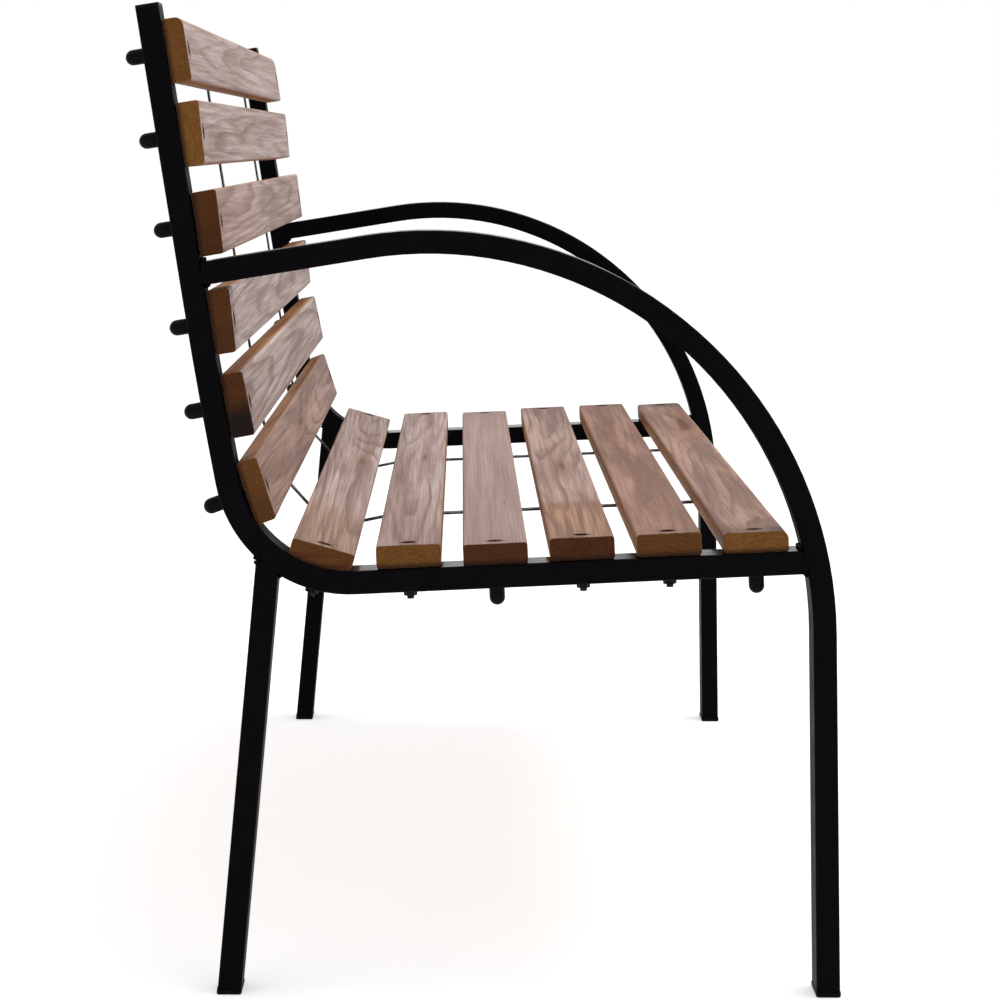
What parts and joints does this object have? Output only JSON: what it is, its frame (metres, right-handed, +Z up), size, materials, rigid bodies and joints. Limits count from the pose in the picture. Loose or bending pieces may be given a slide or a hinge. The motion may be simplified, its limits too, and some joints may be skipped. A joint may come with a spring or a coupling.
{
  "type": "park bench",
  "caption": "Slatted wooden park bench on two bent black steel tube side frames, with curved arms that sweep into the front legs.",
  "frame": {"origin": "on the ground, at the centre of the bench's bounding box", "axes": "+X along the length of the bench, -Y to the front, where a sitter looks, +Z up"},
  "size_m": [1.3014, 0.6104, 0.839],
  "materials": {
    "black_steel": "satin black paint over welded steel tube",
    "wood": "planed softwood, brown stain worn pale, matt",
    "black_plastic": "moulded black plastic, slight sheen",
    "zinc_steel": "dulled zinc plating"
  },
  "bodies": {
    "root": {"left_back_and_seat_tube": "black_steel", "right_back_and_seat_tube": "black_steel", "left_arm_and_front_leg_tube": "black_steel", "right_arm_and_front_leg_tube": "black_steel", "left_rear_leg_tube": "black_steel", "right_rear_leg_tube": "black_steel", "left_welds": "black_steel", "right_welds": "black_steel", "left_top_plug": "black_plastic", "right_top_plug": "black_plastic", "left_front_foot": "black_plastic", "right_front_foot": "black_plastic", "left_rear_foot": "black_plastic", "right_rear_foot": "black_plastic", "back_slat_1": "wood", "back_slat_2": "wood", "back_slat_3": "wood", "back_slat_4": "wood", "back_slat_5": "wood", "back_slat_6": "wood", "seat_slat_1": "wood", "seat_slat_2": "wood", "seat_slat_3": "wood", "seat_slat_4": "wood", "seat_slat_5": "wood", "seat_slat_6": "wood", "left_back_bolts": "zinc_steel", "right_back_bolts": "zinc_steel", "left_seat_bolts": "zinc_steel", "right_seat_bolts": "zinc_steel", "left_back_nuts": "zinc_steel", "right_back_nuts": "zinc_steel", "left_seat_nuts": "zinc_steel", "right_seat_nuts": "zinc_steel", "left_back_caps": "black_plastic", "right_back_caps": "black_plastic", "left_seat_caps": "black_plastic", "right_seat_caps": "black_plastic", "left_tie_strip": "zinc_steel", "right_tie_strip": "zinc_steel", "left_strip_screws": "zinc_steel", "right_strip_screws": "zinc_steel"}
  },
  "joints": []
}
